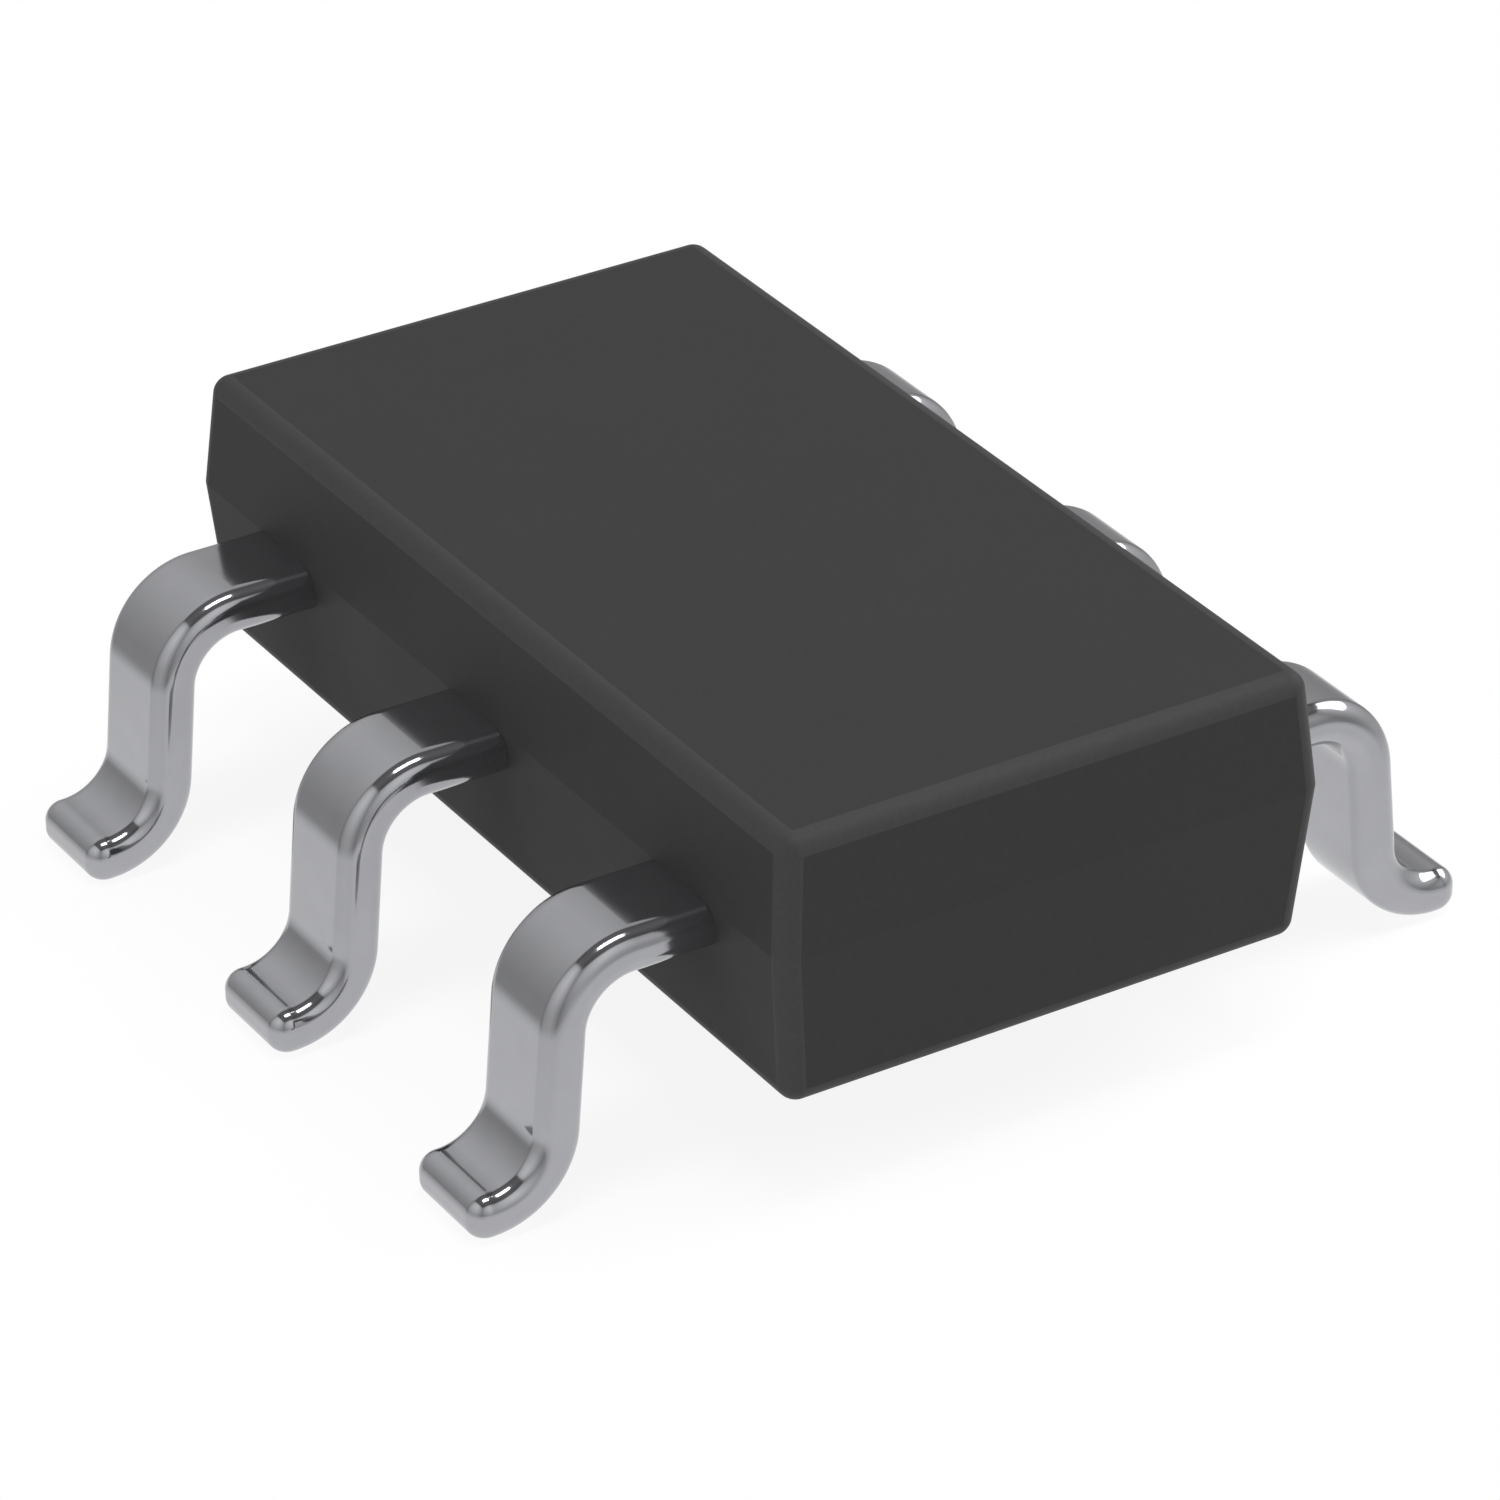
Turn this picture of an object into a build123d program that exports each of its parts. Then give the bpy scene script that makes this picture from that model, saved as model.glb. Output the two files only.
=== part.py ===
from build123d import *
import math
import os

# A six-lead gull-wing integrated circuit, in millimetres.
# The origin is on the seating plane, under the middle of the body.
# X runs along the body, Y across it through the leads, and Z up from the board.

# Driving dimensions of the moulded body
body_width = 1.50
body_height = 0.72
body_end_margin = 0.45
body_draft = 5.0
body_edge_radius = 0.05
standoff = 0.29

# Driving dimensions of the leads outside the body
lead_pitch = 0.95
lead_width = 0.30
lead_thickness = 0.12
lead_reach = 0.65
lead_lean = 5.0
lead_edge_radius = 0.05
lead_under_chamfer = 0.03
bend_inside_radius = 0.125
foot_flat = 0.01

# Driving dimensions of the stamped metal inside the body
paddle_width = 0.40
paddle_gap = 0.24
shoulder_depth = 0.15
pad_side_cover = 0.29
pad_to_paddle_gap = 0.15
root_overlap = 0.10

# Driving dimensions of the chip and its adhesive
die_margin_along = 0.17
die_margin_across = 0.13
die_thickness = 0.10
attach_thickness = 0.02
attach_squeeze_out = 0.04
attach_edge_slope = 45.0

# Driving dimensions of the bond wires and of the places they join
wire_diameter = 0.025
wire_sides = 8
ball_diameter = 0.060
ball_height = 0.016
loop_rise = 0.080
loop_bend = 0.025
loop_flat_share = 0.35
loop_flat_drop = 0.010
stitch_length = 0.070
stitch_width = 0.045
stitch_thickness = 0.006
bond_inset = 0.055
bond_spread = 0.12
stitch_inset = 0.12
stitch_spread = 0.14
ground_stitch_reach = 0.07

# Heights, from the seating plane up
body_top = standoff + body_height
metal_middle = standoff + body_height / 2
metal_top = metal_middle + lead_thickness / 2
metal_bottom = metal_middle - lead_thickness / 2
attach_top = metal_top + attach_thickness
die_top = attach_top + die_thickness
loop_top = die_top + loop_rise

# Plan sizes that follow from the driving dimensions
body_length = 2 * (lead_pitch + body_end_margin)
toe_reach = body_width / 2 + lead_reach
shoulder_reach = body_width / 2 - shoulder_depth
pad_length = 2 * (lead_pitch - paddle_width / 2 - pad_to_paddle_gap)
pad_width = body_width - 2 * pad_side_cover
die_length = pad_length - 2 * die_margin_along
die_width = pad_width - 2 * die_margin_across

# Where each lead stands: its column along the body and its side, -1 for -Y and 1 for +Y
lead_places = {1: (-1, -1), 2: (0, -1), 3: (1, -1), 4: (1, 1), 5: (0, 1), 6: (-1, 1)}
pad_leads = [number for number, (column, side) in lead_places.items() if column == 0]
corner_leads = [number for number in lead_places if number not in pad_leads]


def mould_half(height, direction):
    """One half of the moulding, drafted away from the parting plane at the top of the metal."""
    outline = Plane.XY.offset(metal_top) * Rectangle(body_length, body_width)
    half = extrude(outline, amount=height, dir=(0, 0, direction), taper=body_draft)
    parting_edges = half.edges().group_by(Axis.Z)[0 if direction > 0 else -1]
    return fillet(half.edges() - parting_edges, body_edge_radius)


def rim(faces):
    """The outer edges of a run of faces, without the seams between them."""
    edges = faces.edges()
    return ShapeList(edge for edge in edges if edges.count(edge) == 1)


def looks_up_or_out(face):
    """Whether a face of a +Y lead is on the side that is seen from above: the top, leg front and toe."""
    return face.normal_at().Y + face.normal_at().Z > 0


def spans_lead(face):
    """Whether a face is wider than what the rolled edges leave of a lead's width."""
    return face.bounding_box().size.X > lead_width - lead_edge_radius


def formed_lead(root_reach):
    """A lead on the +Y side at X 0, from root_reach inside the body out to its toe.

    The stamping leaves its upper edges rolled over and its lower edges only broken."""
    outside_radius = bend_inside_radius + lead_thickness
    half_turn = math.radians(90 - lead_lean) / 2
    mitre = lead_thickness / 2 * math.tan(half_turn)
    set_back = (bend_inside_radius + lead_thickness / 2) * math.tan(half_turn)
    foot_bend = toe_reach - lead_edge_radius - foot_flat - set_back
    leg_shift = (metal_middle - lead_thickness / 2) * math.tan(math.radians(lead_lean))
    shoulder_bend = foot_bend - leg_shift
    corners = {
        (root_reach, metal_top): 0,
        (shoulder_bend + mitre, metal_top): outside_radius,
        (foot_bend + mitre, lead_thickness): bend_inside_radius,
        (toe_reach, lead_thickness): 0,
        (toe_reach, 0): 0,
        (foot_bend - mitre, 0): outside_radius,
        (shoulder_bend - mitre, metal_bottom): bend_inside_radius,
        (root_reach, metal_bottom): 0,
    }
    side_view = make_face(FilletPolyline(*corners.keys(), radius=corners.values(), close=True))
    lead = extrude(Plane.YZ * side_view, amount=lead_width / 2, both=True)
    root, *skin, toe = lead.faces().filter_by(spans_lead).sort_by(Axis.Y)
    rolled_edges = rim(ShapeList(skin).filter_by(looks_up_or_out)) - root.edges()
    lead = fillet(rolled_edges + toe.edges().filter_by(Axis.Z), lead_edge_radius)
    root, *underside = lead.faces().filter_by(spans_lead).sort_by(Axis.Y)
    return chamfer(rim(ShapeList(underside)) - root.edges(), lead_under_chamfer)


def stamped_plate(length, width):
    """A plain plate of leadframe metal, lying at the height of the leads."""
    outline = Plane.XY.offset(metal_bottom) * Rectangle(length, width)
    return extrude(outline, amount=lead_thickness)


def placed(piece, number):
    """A piece of the +Y side moved to where the numbered lead stands."""
    column, side = lead_places[number]
    turn = 0 if side > 0 else 180
    return Pos(column * lead_pitch, 0, 0) * Rot(0, 0, turn) * piece


def corner_lead(number):
    """A lead with the wide paddle that locks it in the mould and takes the bond wires."""
    paddle_length = shoulder_reach - paddle_gap / 2
    paddle = Pos(0, shoulder_reach - paddle_length / 2, 0) * stamped_plate(paddle_width, paddle_length)
    return placed(formed_lead(shoulder_reach - root_overlap) + paddle, number)


def pad_with_leads():
    """The die pad, stamped in one piece with the middle lead of each side."""
    pad = stamped_plate(pad_length, pad_width)
    for number in pad_leads:
        pad += placed(formed_lead(pad_width / 2 - root_overlap), number)
    return pad


def adhesive():
    """The adhesive under the chip, squeezed out around it."""
    spread = 2 * attach_squeeze_out
    footprint = Plane.XY.offset(metal_top) * Rectangle(die_length + spread, die_width + spread)
    return extrude(footprint, amount=attach_thickness, taper=attach_edge_slope)


def chip():
    """The sawn silicon chip."""
    outline = Plane.XY.offset(attach_top) * Rectangle(die_length, die_width)
    return extrude(outline, amount=die_thickness)


def bond_wire(start, end):
    """A wire from a ball on the chip at start to a flattened stitch on the metal at end."""
    run = Vector(*end) - Vector(*start)
    along = run.normalized()
    upright = Plane(origin=(*start, 0), x_dir=along, z_dir=(along.Y, -along.X, 0))
    flat_end = (loop_flat_share * run.length, loop_top - loop_flat_drop)
    slope = (flat_end[1] - metal_top) / (run.length - flat_end[0])
    route = Polyline(
        (0, die_top),
        (0, loop_top - loop_bend),
        (loop_bend, loop_top),
        flat_end,
        (run.length + wire_diameter / slope, metal_top - wire_diameter),
    )
    section = Plane(origin=route @ 0, z_dir=route % 0) * RegularPolygon(wire_diameter / 2, wire_sides)
    wire = upright * sweep(section, path=route, transition=Transition.RIGHT)
    wire = split(wire, bisect_by=Plane.XY.offset(metal_top), keep=Keep.TOP)
    ball_outline = Pos(*start, die_top) * RegularPolygon(ball_diameter / 2, wire_sides)
    ball = extrude(ball_outline, amount=ball_height)
    heading = math.degrees(math.atan2(along.Y, along.X))
    tongue = Pos(*end, metal_top) * Rot(0, 0, heading) * Rectangle(stitch_length, stitch_width)
    return ball + wire + extrude(tongue, amount=stitch_thickness)


def corner_wire(number, place=0):
    """A wire from the chip's end to a corner lead; place counts inwards from the chip's corner."""
    column, side = lead_places[number]
    chip_row = die_width / 2 - bond_inset - place * bond_spread
    paddle_row = shoulder_reach - stitch_inset - place * stitch_spread
    paddle_column = lead_pitch - paddle_width / 2 + stitch_inset
    start = (column * (die_length / 2 - bond_inset), side * chip_row)
    return bond_wire(start, (column * paddle_column, side * paddle_row))


def ground_wire(hand):
    """A wire from the chip's long edge down to the neck of the middle lead, left or right of it."""
    side = lead_places[pad_leads[0]][1]
    column = hand * bond_spread / 2
    start = (column, side * (die_width / 2 - bond_inset))
    return bond_wire(start, (column, side * (pad_width / 2 + ground_stitch_reach)))


# Everything inside or through the moulding
pieces = {f"lead_{number}": corner_lead(number) for number in corner_leads}
pieces["die_pad_with_leads_2_and_5"] = pad_with_leads()
pieces["die_attach"] = adhesive()
pieces["silicon_die"] = chip()
pieces["bond_wire_lead_1_a"] = corner_wire(1)
pieces["bond_wire_lead_1_b"] = corner_wire(1, place=1)
pieces["bond_wire_lead_3"] = corner_wire(3)
pieces["bond_wire_lead_4"] = corner_wire(4)
pieces["bond_wire_lead_6"] = corner_wire(6)
pieces["bond_wire_ground_a"] = ground_wire(-1)
pieces["bond_wire_ground_b"] = ground_wire(1)

# The moulding fills the space that the other pieces leave
block = mould_half(body_top - metal_top, 1) + mould_half(metal_top - standoff, -1)
pieces["mould_body"] = block - list(pieces.values())

os.makedirs("parts", exist_ok=True)
for name, piece in pieces.items():
    export_step(piece.solid(), f"parts/{name}.step")
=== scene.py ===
import math

import bpy
from mathutils import Matrix, Vector


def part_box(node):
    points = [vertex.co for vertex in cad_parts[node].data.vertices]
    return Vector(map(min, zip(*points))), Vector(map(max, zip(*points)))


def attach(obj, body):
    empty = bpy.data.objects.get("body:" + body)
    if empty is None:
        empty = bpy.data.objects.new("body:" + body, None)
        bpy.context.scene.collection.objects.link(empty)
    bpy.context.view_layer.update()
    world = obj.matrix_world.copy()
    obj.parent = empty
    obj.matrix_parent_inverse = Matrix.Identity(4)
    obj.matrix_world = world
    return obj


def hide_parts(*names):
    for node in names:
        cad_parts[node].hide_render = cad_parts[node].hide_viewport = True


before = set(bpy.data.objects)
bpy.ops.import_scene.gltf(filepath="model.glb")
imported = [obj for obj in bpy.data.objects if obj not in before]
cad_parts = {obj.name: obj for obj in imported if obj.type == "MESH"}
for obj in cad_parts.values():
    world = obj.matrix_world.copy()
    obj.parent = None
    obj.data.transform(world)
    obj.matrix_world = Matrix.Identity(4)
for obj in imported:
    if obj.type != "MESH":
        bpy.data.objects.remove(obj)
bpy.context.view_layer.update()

# Everything is in metres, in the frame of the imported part
MM = 0.001

# Sizes of the surfaces that show. BEND_RADIUS runs to the middle of the metal, and TOE_ROLL is how far the
# toe's rounding reaches back along the foot
BODY_DRAFT = math.radians(5.0)
BODY_EDGE = 0.05 * MM
LEAD_WIDTH = 0.30 * MM
LEAD_THICKNESS = 0.12 * MM
LEAD_EDGE = 0.05 * MM
LEAD_LEAN = math.radians(5.0)
BEND_RADIUS = 0.185 * MM
FOOT_FLAT = 0.005 * MM
TOE_ROLL = 0.055 * MM

# Sizes of what lies inside the body
SHOULDER_DEPTH = 0.15 * MM
SOCKET_DEPTH = 0.10 * MM
PAD_SIDE_COVER = 0.29 * MM

# How finely the rounded edges and the bends are divided, and how close together two points count as one
EDGE_STEPS = 10
BEND_STEPS = 32
SAME_PLACE = 1e-4 * MM

# Where each lead stands: its column along the body and its side
LEAD_PLACES = {1: (-1, -1), 2: (0, -1), 3: (1, -1), 4: (1, 1), 5: (0, 1), 6: (-1, 1)}
CORNER_LEADS = (1, 3, 4, 6)
PAD_LEADS = (5, 2)

# The attribute that is 1 on the body's rounded edges, where handling has rubbed the surface smoother and
# where a painted highlight makes the colour paler
EDGE_WEAR_AND_SHEEN = "edge_wear_and_sheen"

# In the materials, a tone is the share of the light that a surface returns, a spread is how far a tone strays
# from its middle, and a roughness is given as its lowest and its highest value
NEUTRAL = (1.0, 1.0, 1.0)

# The part of a noise's range over which a tone or a roughness changes, and how many finer layers a cloudy
# noise has
NOISE_MIDDLE = (0.3, 0.7)
CLOUD_DETAIL = 2.0

# The moulding compound
COMPOUND_SPECULAR = 0.14
COMPOUND_CLOUD = 0.30 * MM
COMPOUND_GRAIN = 0.014 * MM
COMPOUND_GRAIN_DETAIL = 4.0
COMPOUND_RELIEF = 0.0002 * MM
FLAT_TONE = 0.0396
FLAT_SPREAD = 0.04
# The paler tone of the rounded edges is a painted highlight, not a colour of the compound
EDGE_HIGHLIGHT_TONE = 0.0558
EDGE_SPREAD = 0.05
COMPOUND_ROUGHNESS = (0.58, 0.62)
EDGE_SMOOTHER_BY = 0.04

# The tin plating
TIN_METALLIC = 0.94
TIN_CLOUD = 0.08 * MM
TIN_GRAIN = 0.006 * MM
TIN_GRAIN_DETAIL = 3.0
TIN_TONE = 0.399
TIN_SPREAD = 0.02
TIN_TINT = (1.0, 1.006, 1.056)
TIN_ROUGHNESS = (0.095, 0.115)

# What lies inside the body: the finish of every CAD node whose name starts so
INNER_SPREAD = 0.08
INNER_ROUGHNESS_SPREAD = 0.1
INNER_LOOKS = {
    "die_attach": {"name": "silver_filled_adhesive", "tone": 0.54, "tint": (1.0, 1.0, 0.96),
                   "cloud": 0.01 * MM, "roughness": 0.5, "metallic": 0.4},
    "silicon_die": {"name": "silicon", "tone": 0.16, "tint": (0.94, 1.0, 1.2),
                    "cloud": 0.05 * MM, "roughness": 0.15, "metallic": 0.0},
    "bond_wire": {"name": "gold_wire", "tone": 0.86, "tint": (1.0, 0.73, 0.28),
                  "cloud": 0.01 * MM, "roughness": 0.2, "metallic": 1.0},
}

# The floor, just under the feet: it takes the object's shadow and fades into the studio's white ground
FLOOR_FULL = 1.1 * MM
FLOOR_END = 2.3 * MM
FLOOR_DROP = 0.0005 * MM

# The floor's tone in the light that it throws back, and its look, which is a white glow and a share that
# shadows take away
FLOOR_TONE = 0.8
FLOOR_GLOW = 0.875
FLOOR_SHADOW_SHARE = 0.15

# The room that the object mirrors, in ceiling heights from the object
ROOM_CENTRE = (0.17, 0.025, 0.0)
ROOM_HALF = (0.67, 0.725, 1.0)

# The least part of a ray that is taken to run along each axis, so that nothing is divided by zero
LEAST_RUN = 1e-4

# How bright the room is: the walls at each height, the ceiling, and how white the ground is at each angle,
# in degrees above the horizon
WALL_LEVELS = [(0.0, 0.66), (0.2, 0.85), (0.4, 1.03), (0.5, 1.08), (0.75, 1.08), (0.9, 0.93), (0.98, 0.72)]
CEILING_LEVEL = 0.175
GROUND_SHARES = [(-60, 1.0), (-38, 0.92), (-30, 0.80), (-22, 0.60), (-18, 0.34), (-13, 0.0)]

# How the walls darken towards a corner at the -X end and at the +X end: at the ground, from the height
# SHADE_GROWS_TO on, and how suddenly. The first holds up to -SHADE_TURNS_AT of the room's half length, and
# the second from SHADE_TURNS_AT on
SHADE_GROWS_TO = 0.5
SHADE_TURNS_AT = 0.3
CORNER_SHADE = [(0.34, 0.52, 2.0), (0.52, 0.62, 1.2)]

# How bright the end walls are beside the long ones: at -X, in the middle and on the +Y side, and at +X.
# They start at END_WALL_START of the half length, and the one at -X is darkest from FAR_WALL_DARKEST of the
# half width on
FAR_WALL_LEVELS = (0.75, 0.64)
NEAR_WALL_LEVEL = 1.07
END_WALL_START = 0.8
FAR_WALL_DARKEST = 0.4

# The lamps: the middle and the size of each, in lamp reaches from the object, and how bright it looks
LAMP_REACH = 60 * MM
WINDOW = {"middle": (0.06, 1.0, 0.90), "wide": 0.85, "high": 0.90, "radiance": 3.6}
CEILING_LAMP = {"middle": (0.14, 0.02, 1.0), "wide": 0.22, "high": 0.49, "radiance": 9.3}
FILL_LAMP = {"middle": (-0.25, -1.0, 0.2), "wide": 0.9, "high": 0.5, "radiance": 0.8}

# The camera, found from the outline of the object in the photograph, whose frame is 1500 pixels wide
FRAME_PIXELS = 1500
FOCAL_PIXELS = 7553.828
SENSOR_WIDTH = 36
CAMERA_PLACE = Vector((13.77569, -8.37726, 9.70639)) * MM
CAMERA_AZIMUTH = math.radians(58.622)
CAMERA_ELEVATION = math.radians(30.1026)
CAMERA_ROLL = math.radians(-0.651)
CAMERA_SEES_FROM = 1 * MM
CAMERA_SEES_TO = 1000 * MM

# Places taken from the frame
body_low, body_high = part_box("mould_body")
lead_low, lead_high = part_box("lead_4")
pad_low, pad_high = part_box("die_pad_with_leads_2_and_5")
PITCH = (lead_low.x + lead_high.x) / 2
METAL_TOP = lead_high.z
METAL_MIDDLE = METAL_TOP - LEAD_THICKNESS / 2
TOE_REACH = lead_high.y


class Shell:
    """A closed surface, with its own smooth normal at every corner of every face."""

    def __init__(self):
        self.points = []
        self.numbers = {}
        self.faces = []
        self.normals = []
        # 1 for faces on the body's rounded edges, which are rubbed smoother and get a painted highlight that
        # makes them paler
        self.wear_and_sheen = []

    def point(self, place):
        """The number of the point at a place; points in one place are one point."""
        key = tuple(round(value / SAME_PLACE) for value in place)
        if key not in self.numbers:
            self.numbers[key] = len(self.points)
            self.points.append(Vector(place))
        return self.numbers[key]

    def face(self, corners, normals, worn_and_sheened=False):
        """A face with a normal for each corner; corners that fall together are one corner."""
        kept = [k for k in range(len(corners)) if corners[k] != corners[k - 1]]
        if len(kept) > 2:
            self.faces.append([corners[k] for k in kept])
            self.normals.append([normals[k] for k in kept])
            self.wear_and_sheen.append(float(worn_and_sheened))

    def flat(self, corners, outward):
        """A flat face, turned so that it looks outward."""
        normal = Vector((0, 0, 0))
        for here, after in zip(corners, corners[1:] + corners[:1]):
            normal += self.points[here].cross(self.points[after])
        normal.normalize()
        if normal.dot(outward) < 0:
            corners = corners[::-1]
            normal.negate()
        self.face(corners, [normal] * len(corners))

    def tube(self, rings, inside_out=False, worn_and_sheened=False):
        """Four-sided faces from each ring to the next. A ring is a list of places with their normals."""
        turn = -1 if inside_out else 1
        numbers = [[self.point(place) for place, normal in ring] for ring in rings]
        for ring_a, ring_b, ids_a, ids_b in zip(rings, rings[1:], numbers, numbers[1:]):
            for here in range(len(ring_a)):
                before = here - 1
                corners = [ids_a[before], ids_a[here], ids_b[here], ids_b[before]]
                normals = [ring_a[before][1], ring_a[here][1], ring_b[here][1], ring_b[before][1]]
                self.face(corners[::turn], [turn * normal for normal in normals[::turn]], worn_and_sheened)
        return numbers

    def piece(self, name, material):
        """The shell as a Blender object."""
        mesh = bpy.data.meshes.new(name)
        mesh.from_pydata(self.points, [], self.faces)
        mesh.normals_split_custom_set([normal for corners in self.normals for normal in corners])
        mesh.attributes.new(EDGE_WEAR_AND_SHEEN, "FLOAT", "FACE").data.foreach_set("value", self.wear_and_sheen)
        mesh.materials.append(material)
        made = bpy.data.objects.new(name, mesh)
        bpy.context.scene.collection.objects.link(made)
        return made


def rounded_rectangle(half_wide, half_high, radius):
    """Points and outward directions round a rectangle whose corners are arcs of that radius.

    Arc k ends at point (k + 1) * (EDGE_STEPS + 1) - 1, and the arcs are at + +, - +, - - and + -."""
    outline = []
    for quarter, (side_a, side_b) in enumerate(((1, 1), (-1, 1), (-1, -1), (1, -1))):
        for step in range(EDGE_STEPS + 1):
            angle = math.pi / 2 * (quarter + step / EDGE_STEPS)
            out = (math.cos(angle), math.sin(angle))
            a = side_a * (half_wide - radius) + radius * out[0]
            b = side_b * (half_high - radius) + radius * out[1]
            outline.append(((a, b), out))
    return outline


def at_lead(column, side, place):
    """A place given for a +Y lead at X 0, moved to where another lead stands."""
    x, y, z = place
    return Vector((side * x + column * PITCH, side * y, z))


def turned(side, direction):
    """A direction given for a +Y lead, turned to the lead's side of the body."""
    x, y, z = direction
    return Vector((side * x, side * y, z))


def lead_ring(column, side, y, z, slope=0.0, radius=LEAD_EDGE, toe_turn=0.0):
    """The lead's section round the middle point y, z, where the lead heads down at that slope.

    At the toe, radius and toe_turn give the rounding towards the end face."""
    trim = LEAD_EDGE - radius
    ring = []
    for (a, b), (out_a, out_b) in rounded_rectangle(LEAD_WIDTH / 2 - trim, LEAD_THICKNESS / 2 - trim, radius):
        place = (-a, y + b * math.sin(slope), z + b * math.cos(slope))
        out = (-out_a * math.cos(toe_turn), math.sin(toe_turn), out_b * math.cos(toe_turn))
        out = (out[0], out[1] * math.cos(slope) + out[2] * math.sin(slope),
               out[2] * math.cos(slope) - out[1] * math.sin(slope))
        ring.append((at_lead(column, side, place), turned(side, out)))
    return ring


def lead_rings(column, side, root):
    """The sections of a lead from its root inside the body, through both bends, to its rounded toe."""
    bend = math.pi / 2 - LEAD_LEAN
    set_back = BEND_RADIUS * math.tan(bend / 2)
    foot_bend = TOE_REACH - TOE_ROLL - FOOT_FLAT - set_back
    shoulder_bend = foot_bend - (METAL_MIDDLE - LEAD_THICKNESS / 2) * math.tan(LEAD_LEAN)
    rings = [lead_ring(column, side, root, METAL_MIDDLE)]
    for step in range(BEND_STEPS + 1):
        slope = bend * step / BEND_STEPS
        y = shoulder_bend - set_back + BEND_RADIUS * math.sin(slope)
        rings.append(lead_ring(column, side, y, METAL_MIDDLE - BEND_RADIUS * (1 - math.cos(slope)), slope))
    for step in range(BEND_STEPS + 1):
        slope = bend * (1 - step / BEND_STEPS)
        y = foot_bend + set_back - BEND_RADIUS * math.sin(slope)
        z = LEAD_THICKNESS / 2 + BEND_RADIUS * (1 - math.cos(slope))
        rings.append(lead_ring(column, side, y, z, slope))
    for step in range(EDGE_STEPS + 1):
        turn = math.pi / 2 * step / EDGE_STEPS
        y = TOE_REACH - TOE_ROLL * (1 - math.sin(turn))
        rings.append(lead_ring(column, side, y, LEAD_THICKNESS / 2, 0.0, LEAD_EDGE * math.cos(turn), turn))
    return rings


def plate_end(shell, column, side, reach, half_width, root=None):
    """One end face of a plate; returns its upper and lower edge, each from the right corner to the left."""
    low = METAL_TOP - LEAD_THICKNESS
    outward = turned(side, (0, 1, 0))
    upper = [shell.point(at_lead(column, side, (x, reach, METAL_TOP))) for x in (half_width, -half_width)]
    lower = [shell.point(at_lead(column, side, (x, reach, low))) for x in (half_width, -half_width)]
    if root is None:
        shell.flat(upper + lower[::-1], outward)
        return upper, lower
    arc = EDGE_STEPS + 1
    shell.flat([lower[0], upper[0]] + root[arc:3 * arc], outward)
    shell.flat([upper[1], lower[1]] + root[3 * arc:] + root[:arc], outward)
    upper[1:1] = [root[arc], root[arc - 1]]
    lower[1:1] = [root[3 * arc - 1], root[3 * arc]]
    return upper, lower


def plate(shell, near_end, far_end):
    """The four faces of a plate between its two end faces."""
    (upper_a, lower_a), (upper_b, lower_b) = near_end, far_end
    shell.flat(upper_a + upper_b, Vector((0, 0, 1)))
    shell.flat(lower_a + lower_b, Vector((0, 0, -1)))
    middle = sum((shell.points[k] for k in (*upper_a, *upper_b)), Vector()) / len(upper_a + upper_b)
    for a, b in ((0, -1), (-1, 0)):
        corners = [upper_a[a], lower_a[a], lower_b[b], upper_b[b]]
        shell.flat(corners, shell.points[upper_a[a]] + shell.points[upper_b[b]] - 2 * middle)


def formed_lead(shell, column, side, root):
    """One lead with its closed toe; returns the point numbers of its first section."""
    rings = lead_rings(column, side, root)
    numbers = shell.tube(rings)
    toe = list(dict.fromkeys(numbers[-1]))
    shell.flat(toe, turned(side, (0, 1, 0)))
    return numbers[0]


def corner_lead(number, material):
    """A lead with the paddle that holds it in the body."""
    column, side = LEAD_PLACES[number]
    low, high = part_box(f"lead_{number}")
    inner = min(abs(low.y), abs(high.y))
    shoulder = body_high.y - SHOULDER_DEPTH
    half_width = (high.x - low.x) / 2
    shell = Shell()
    root = formed_lead(shell, column, side, shoulder)
    near_end = plate_end(shell, column, side, shoulder, half_width, root)
    far_end = plate_end(shell, column, -side, -inner, half_width)
    plate(shell, near_end, far_end)
    return shell.piece(f"tinned_lead_{number}", material)


def pad_with_leads(material):
    """The die pad with the middle lead of each side."""
    shell = Shell()
    pad_reach = body_high.y - PAD_SIDE_COVER
    half_width = (pad_high.x - pad_low.x) / 2
    ends = []
    for number in PAD_LEADS:
        column, side = LEAD_PLACES[number]
        root = formed_lead(shell, column, side, pad_reach)
        ends.append(plate_end(shell, column, side, pad_reach, half_width, root))
    plate(shell, *ends)
    return shell.piece("tinned_pad_with_leads_2_and_5", material)


def body_ring(z, inset, radius, tilt):
    """The body's outline at a height, where its surface leans back by tilt (downwards when negative)."""
    half_long, half_wide = body_high.x - inset, body_high.y - inset
    ring = []
    for (a, b), (out_a, out_b) in rounded_rectangle(half_long, half_wide, radius):
        lean = abs(math.cos(tilt))
        ring.append((Vector((a, b, z)), Vector((out_a * lean, out_b * lean, math.sin(tilt)))))
    return ring


def body_half(rise):
    """The outlines of the upper (1) or lower (-1) half of the body, from the parting line to the flat."""
    tip = body_high.z if rise > 0 else body_low.z
    centre = tip - rise * BODY_EDGE
    inset = abs(centre - METAL_TOP) * math.tan(BODY_DRAFT) + BODY_EDGE / math.cos(BODY_DRAFT)
    rings = [body_ring(METAL_TOP, 0.0, BODY_EDGE * math.cos(BODY_DRAFT), rise * BODY_DRAFT)]
    for step in range(EDGE_STEPS + 1):
        tilt = BODY_DRAFT + (math.pi / 2 - BODY_DRAFT) * step / EDGE_STEPS
        radius = BODY_EDGE * math.cos(tilt)
        z = centre + rise * BODY_EDGE * math.sin(tilt)
        rings.append(body_ring(z, inset - radius, radius, rise * tilt))
    return rings


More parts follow.
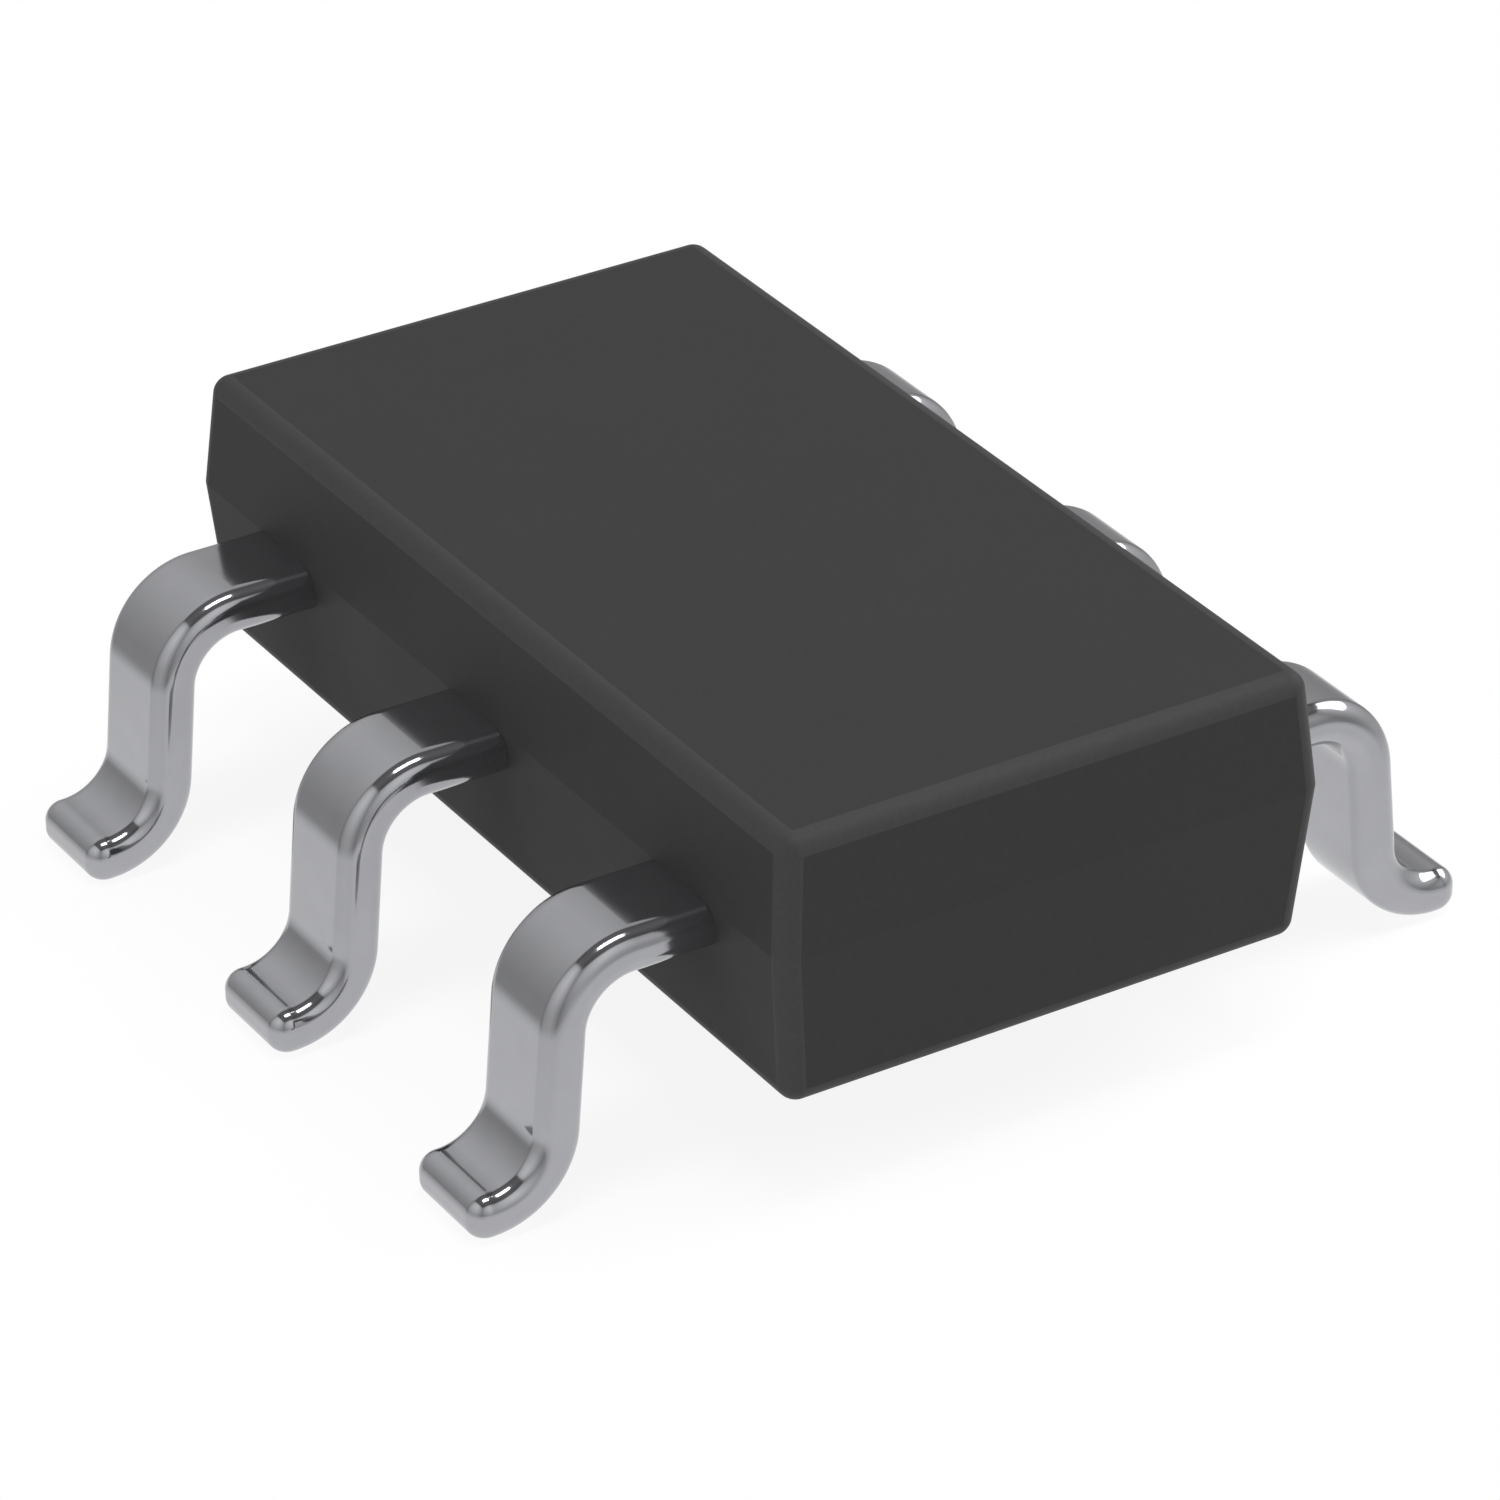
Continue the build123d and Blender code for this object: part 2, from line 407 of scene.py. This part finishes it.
def socket(shell, number):
    """The recess that a lead comes out of; returns the point numbers round its mouth."""
    column, side = LEAD_PLACES[number]
    inner = lead_ring(column, side, body_high.y - SOCKET_DEPTH, METAL_MIDDLE)
    mouth = []
    for place, normal in inner:
        reach = body_high.y - (METAL_TOP - place.z) * math.tan(BODY_DRAFT)
        mouth.append((Vector((place.x, side * reach, place.z)), normal))
    bottom, rim = shell.tube([inner, mouth], inside_out=True)
    shell.flat(bottom, turned(side, (0, 1, 0)))
    return rim


def moulded_body(material):
    """The body, with a socket for every lead under its parting line."""
    shell = Shell()
    arc = EDGE_STEPS + 1
    rims = {number: socket(shell, number) for number in LEAD_PLACES}
    for rise in (-1, 1):
        rings = body_half(rise)
        wall = [[shell.point(place) for place, normal in ring] for ring in rings[:2]]
        ordered = rings[::rise]
        # The rounded edges are marked for the smoother rubbed finish and for the painted highlight that makes
        # them paler
        shell.tube(ordered[1:] if rise > 0 else ordered[:-1], worn_and_sheened=True)
        flat_ring = [shell.point(place) for place, normal in rings[-1]]
        shell.flat(list(dict.fromkeys(flat_ring)), Vector((0, 0, rise)))
        # The end walls and the upright edges. The faces from the ends of arcs 0 and 2 are the long walls
        for here in range(len(wall[0])):
            before = here - 1
            corners = [wall[0][before], wall[0][here], wall[1][here], wall[1][before]]
            normals = [rings[0][before][1], rings[0][here][1], rings[1][here][1], rings[1][before][1]]
            # Faces on the upright rounded edges carry the same smoother finish and painted highlight
            if here not in (arc, 3 * arc):
                shell.face(corners[::rise], normals[::rise], worn_and_sheened=here % arc > 0)
        # Each long wall is one flat face. In the lower half it runs round the sockets' mouths, and in the
        # upper half along their tops
        for side, right in ((1, arc - 1), (-1, 3 * arc - 1)):
            edge = [wall[0][right + 1]]
            for number in sorted(rims, key=lambda n: LEAD_PLACES[n][0] * side):
                if LEAD_PLACES[number][1] == side:
                    rim = rims[number]
                    edge += rim[arc - 1:arc + 1] if rise > 0 else rim[arc - 1::-1] + rim[:arc - 1:-1]
            edge.append(wall[0][right])
            shell.flat(edge + [wall[1][right], wall[1][right + 1]], turned(side, (0, 1, 0)))
    return shell.piece("moulded_body", material)


def grey(level):
    """A colour of one level."""
    return (level, level, level, 1)


class Nodes:
    """The nodes of a material or of the world."""

    def __init__(self, owner):
        owner.use_nodes = True
        self.nodes = owner.node_tree.nodes
        self.links = owner.node_tree.links

    def feed(self, socket, value):
        """Sets an input to a value, or links it to another node's output."""
        if isinstance(value, bpy.types.NodeSocket):
            self.links.new(value, socket)
        else:
            socket.default_value = value

    def add(self, kind, inputs=(), **settings):
        """A node with its settings and inputs."""
        made = self.nodes.new(kind)
        for name, value in settings.items():
            setattr(made, name, value)
        for name, value in dict(inputs).items():
            self.feed(made.inputs[name], value)
        return made

    def number(self, operation, *values):
        return self.add("ShaderNodeMath", enumerate(values), operation=operation).outputs[0]

    def vector(self, operation, *values):
        return self.add("ShaderNodeVectorMath", enumerate(values), operation=operation).outputs[0]

    def split(self, vector):
        """The X, Y and Z of a vector."""
        return self.add("ShaderNodeSeparateXYZ", {0: vector}).outputs

    def stretched(self, value, start, end, low, high):
        """A number that goes from low to high while the value goes from start to end."""
        inputs = {"Value": value, "From Min": start, "From Max": end, "To Min": low, "To Max": high}
        return self.add("ShaderNodeMapRange", inputs).outputs["Result"]

    def ramp(self, place, stops):
        """A level that runs through the stops; a stop is a place from 0 to 1 and its level."""
        made = self.add("ShaderNodeValToRGB", {"Fac": place})
        elements = made.color_ramp.elements
        elements[0].position, elements[-1].position = stops[0][0], stops[-1][0]
        for stop in stops[1:-1]:
            elements.new(stop[0])
        for element, (start, level) in zip(elements, stops):
            element.color = grey(level)
        return made.outputs["Color"]

    def between(self, share, low, high):
        """A number that goes from low to high as the share goes from 0 to 1."""
        # Inputs 2 and 3 of a Mix node are its two numbers
        return self.add("ShaderNodeMix", {0: share, 2: low, 3: high}).outputs[0]

    def mix_shaders(self, share, shader_a, shader_b):
        return self.add("ShaderNodeMixShader", {0: share, 1: shader_a, 2: shader_b}).outputs[0]

    def rays(self, *kinds):
        """1 for rays of the given kinds, and 0 for the others."""
        path = self.add("ShaderNodeLightPath").outputs
        found = path[f"Is {kinds[0]} Ray"]
        for kind in kinds[1:]:
            found = self.number("MAXIMUM", found, path[f"Is {kind} Ray"])
        return found


class Look(Nodes):
    """A material built up around one Principled shader."""

    def __init__(self, name, **constants):
        self.material = bpy.data.materials.new(name)
        super().__init__(self.material)
        self.shader = self.nodes["Principled BSDF"]
        for socket, value in constants.items():
            self.shader.inputs[socket.replace("_", " ")].default_value = value
        self.place = self.add("ShaderNodeTexCoord").outputs["Object"]

    def noise(self, size, detail=CLOUD_DETAIL):
        """Noise whose features are about that size."""
        inputs = {"Vector": self.place, "Scale": 1 / size, "Detail": detail}
        return self.add("ShaderNodeTexNoise", inputs).outputs["Fac"]

    def varied(self, factor, low, high):
        """A number that follows a noise from low to high over the middle of its range."""
        return self.stretched(factor, *NOISE_MIDDLE, low, high)

    def blend(self, share, colour_a, colour_b):
        """A colour between two others, which are colours or outputs."""
        # Inputs 6 and 7 of a Mix node are its two colours, and output 2 is the mixed one
        return self.add("ShaderNodeMix", {0: share, 6: colour_a, 7: colour_b}, data_type="RGBA").outputs[2]

    def clouded(self, factor, tone, tint, spread):
        """A tinted grey that a noise makes darker and lighter by that share."""
        shades = [[tone * part * (1 + sign * spread) for part in tint] + [1] for sign in (-1, 1)]
        return self.blend(self.varied(factor, 0.0, 1.0), *shades)

    def set(self, **outputs):
        for socket, output in outputs.items():
            self.feed(self.shader.inputs[socket.replace("_", " ")], output)

    def bump(self, height, depth):
        """Raises the surface by up to depth where the height is 1."""
        inputs = {"Height": height, "Strength": 1.0, "Distance": depth}
        self.set(Normal=self.add("ShaderNodeBump", inputs).outputs["Normal"])


def mould_compound():
    """Black epoxy with a fine filler grain, rubbed smoother along its rounded edges, where a painted
    highlight makes it paler.
    """
    look = Look("mould_compound", Specular_IOR_Level=COMPOUND_SPECULAR)
    cloud = look.noise(COMPOUND_CLOUD)
    grain = look.noise(COMPOUND_GRAIN, COMPOUND_GRAIN_DETAIL)
    worn_and_sheened = look.add("ShaderNodeAttribute", attribute_name=EDGE_WEAR_AND_SHEEN).outputs["Fac"]
    flats = look.clouded(grain, FLAT_TONE, NEUTRAL, FLAT_SPREAD)
    # The rounded edges take a paler tone: a painted highlight
    edges = look.clouded(grain, EDGE_HIGHLIGHT_TONE, NEUTRAL, EDGE_SPREAD)
    look.set(Base_Color=look.blend(worn_and_sheened, flats, edges))
    rough = look.varied(cloud, *COMPOUND_ROUGHNESS)
    look.set(Roughness=look.number("MULTIPLY_ADD", worn_and_sheened, -EDGE_SMOOTHER_BY, rough))
    look.bump(grain, COMPOUND_RELIEF)
    return look.material


def tin_plating():
    """Bright tin over a copper alloy, slightly clouded, with a very fine plating grain."""
    look = Look("tin_plating", Metallic=TIN_METALLIC)
    cloud = look.noise(TIN_CLOUD)
    grain = look.noise(TIN_GRAIN, TIN_GRAIN_DETAIL)
    look.set(Base_Color=look.clouded(cloud, TIN_TONE, TIN_TINT, TIN_SPREAD))
    look.set(Roughness=look.varied(grain, *TIN_ROUGHNESS))
    return look.material


def inner_look(name, tone, tint, cloud, roughness, metallic):
    """The finish of a piece inside the body: clouded in colour and in roughness."""
    look = Look(name, Metallic=metallic)
    clouds = look.noise(cloud)
    look.set(Base_Color=look.clouded(clouds, tone, tint, INNER_SPREAD))
    limits = [roughness * (1 + sign * INNER_ROUGHNESS_SPREAD) for sign in (-1, 1)]
    look.set(Roughness=look.varied(clouds, *limits))
    return look.material


def dress(piece, node):
    """Puts a piece in the place of the CAD node that it shows."""
    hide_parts(node)
    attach(piece, "root")


def floor():
    """A pale floor, white to the eye and in the metal, that keeps the object's shadow.

    It fades into the white ground around it. From below it is clear, so that the underside can be seen."""
    corners = [(a * FLOOR_END, b * FLOOR_END, -FLOOR_DROP) for a, b in ((-1, -1), (1, -1), (1, 1), (-1, 1))]
    mesh = bpy.data.meshes.new("floor")
    mesh.from_pydata(corners, [], [range(len(corners))])
    made = bpy.data.objects.new("floor", mesh)
    bpy.context.scene.collection.objects.link(made)
    material = bpy.data.materials.new("pale_floor")
    nodes = Nodes(material)
    nodes.nodes.clear()
    plain = nodes.add("ShaderNodeBsdfDiffuse", {"Color": grey(FLOOR_TONE)}).outputs[0]
    shadow_keeper = nodes.add("ShaderNodeBsdfDiffuse", {"Color": grey(FLOOR_SHADOW_SHARE)}).outputs[0]
    glow = nodes.add("ShaderNodeEmission", {"Color": grey(FLOOR_GLOW)}).outputs[0]
    white = nodes.add("ShaderNodeAddShader", {0: shadow_keeper, 1: glow}).outputs[0]
    seen = nodes.rays("Camera", "Glossy", "Transmission")
    place = nodes.add("ShaderNodeTexCoord").outputs["Object"]
    away = nodes.split(nodes.vector("ABSOLUTE", place))
    faded = nodes.stretched(nodes.number("MAXIMUM", away["X"], away["Y"]), FLOOR_FULL, FLOOR_END, 0.0, 1.0)
    gone = nodes.number("MAXIMUM", faded, nodes.add("ShaderNodeNewGeometry").outputs["Backfacing"])
    clear = nodes.add("ShaderNodeBsdfTransparent").outputs[0]
    surface = nodes.mix_shaders(gone, nodes.mix_shaders(seen, plain, white), clear)
    nodes.add("ShaderNodeOutputMaterial", {"Surface": surface})
    mesh.materials.append(material)


def corner_shade(nodes, share, height):
    """What part of a wall's light is missing, from its share of the way to the corner and its height."""
    across, along = (nodes.number("ABSOLUTE", share[axis]) for axis in "XY")
    near_corner = nodes.number("MINIMUM", across, along)
    shades = []
    for low, high, power in CORNER_SHADE:
        depth = nodes.stretched(height, 0, SHADE_GROWS_TO, low, high)
        shades.append(nodes.number("MULTIPLY", nodes.number("POWER", near_corner, power), depth))
    return nodes.between(nodes.stretched(share["X"], -SHADE_TURNS_AT, SHADE_TURNS_AT, 0.0, 1.0), *shades)


def room_level(nodes, ray):
    """How bright the room looks along a ray.

    It follows the height on the wall, darkens towards the corners, and differs between the end walls."""
    reach = nodes.vector("MULTIPLY_ADD", nodes.vector("SIGN", ray), ROOM_CENTRE, ROOM_HALF)
    run = nodes.vector("MAXIMUM", nodes.vector("ABSOLUTE", ray), (LEAST_RUN, LEAST_RUN, LEAST_RUN))
    times = nodes.split(nodes.vector("DIVIDE", reach, run))
    first = nodes.number("MINIMUM", nodes.number("MINIMUM", times["X"], times["Y"]), times["Z"])
    hit = nodes.vector("MULTIPLY", ray, first)
    height = nodes.split(hit)["Z"]
    share = nodes.split(nodes.vector("DIVIDE", nodes.vector("SUBTRACT", hit, ROOM_CENTRE), ROOM_HALF))
    levels = [*WALL_LEVELS, (1.0, CEILING_LEVEL)]
    brightest = max(level for up, level in levels)
    wall = nodes.ramp(height, [(up, level / brightest) for up, level in levels])
    lit = nodes.number("SUBTRACT", 1.0, corner_shade(nodes, share, height))
    far_level = nodes.stretched(share["Y"], 0.0, FAR_WALL_DARKEST, *FAR_WALL_LEVELS)
    far_wall = nodes.stretched(share["X"], -END_WALL_START, -1.0, 1.0, far_level)
    near_wall = nodes.stretched(share["X"], END_WALL_START, 1.0, 1.0, NEAR_WALL_LEVEL)
    level = nodes.number("MULTIPLY", wall, brightest)
    for share_kept in (lit, far_wall, near_wall):
        level = nodes.number("MULTIPLY", level, share_kept)
    return level


def surroundings():
    """The studio round the object: a room with a dark ceiling, over ground that is white."""
    world = bpy.data.worlds.new("studio")
    bpy.context.scene.world = world
    nodes = Nodes(world)
    nodes.nodes.clear()
    ray = nodes.add("ShaderNodeTexCoord").outputs["Generated"]
    rise = nodes.split(ray)["Z"]
    stops = [((1 + math.sin(math.radians(up))) / 2, share) for up, share in GROUND_SHARES]
    ground = nodes.ramp(nodes.number("MULTIPLY_ADD", rise, 0.5, 0.5), stops)
    white = nodes.number("MAXIMUM", ground, nodes.rays("Camera", "Transmission"))
    level = nodes.between(white, room_level(nodes, ray), 1.0)
    studio = nodes.add("ShaderNodeBackground", {"Color": level}).outputs[0]
    nodes.add("ShaderNodeOutputWorld", {"Surface": studio})


def lamp(name, settings, turn):
    """A soft rectangular lamp, turned about X. Its power follows from how bright its face looks."""
    wide, high = settings["wide"] * LAMP_REACH, settings["high"] * LAMP_REACH
    light = bpy.data.lights.new(name, "AREA")
    light.shape = "RECTANGLE"
    light.size, light.size_y = wide, high
    light.energy = settings["radiance"] * math.pi * wide * high
    made = bpy.data.objects.new(name, light)
    bpy.context.scene.collection.objects.link(made)
    made.location = Vector(settings["middle"]) * LAMP_REACH
    made.rotation_euler = (turn, 0, 0)
    return made


def lamps():
    """An upright window beyond the +Y side, a lamp in the ceiling, and a weak fill from the -Y side."""
    lamp("window", WINDOW, -math.pi / 2)
    lamp("ceiling_lamp", CEILING_LAMP, 0.0)
    lamp("fill_lamp", FILL_LAMP, math.pi / 2).visible_glossy = False


def camera():
    """A camera that sees the object as the photograph does."""
    flat = Vector((math.sin(CAMERA_AZIMUTH), -math.cos(CAMERA_AZIMUTH), 0))
    back = flat * math.cos(CAMERA_ELEVATION) + Vector((0, 0, math.sin(CAMERA_ELEVATION)))
    level = Vector((0, 0, 1)).cross(back).normalized()
    raised = back.cross(level)
    right = level * math.cos(CAMERA_ROLL) + raised * math.sin(CAMERA_ROLL)
    up = raised * math.cos(CAMERA_ROLL) - level * math.sin(CAMERA_ROLL)
    data = bpy.data.cameras.new("camera")
    data.sensor_width = SENSOR_WIDTH
    data.lens = FOCAL_PIXELS / FRAME_PIXELS * SENSOR_WIDTH
    data.clip_start, data.clip_end = CAMERA_SEES_FROM, CAMERA_SEES_TO
    made = bpy.data.objects.new("camera", data)
    bpy.context.scene.collection.objects.link(made)
    made.matrix_world = Matrix.Translation(CAMERA_PLACE) @ Matrix((right, up, back)).transposed().to_4x4()
    bpy.context.scene.camera = made


compound = mould_compound()
tin = tin_plating()
dress(moulded_body(compound), "mould_body")
dress(pad_with_leads(tin), "die_pad_with_leads_2_and_5")
for number in CORNER_LEADS:
    dress(corner_lead(number, tin), f"lead_{number}")

for start, settings in INNER_LOOKS.items():
    finish = inner_look(**settings)
    for name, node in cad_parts.items():
        if name.startswith(start):
            node.data.materials.clear()
            node.data.materials.append(finish)

floor()
surroundings()
lamps()
camera()
bpy.context.scene.view_settings.view_transform = "Standard"
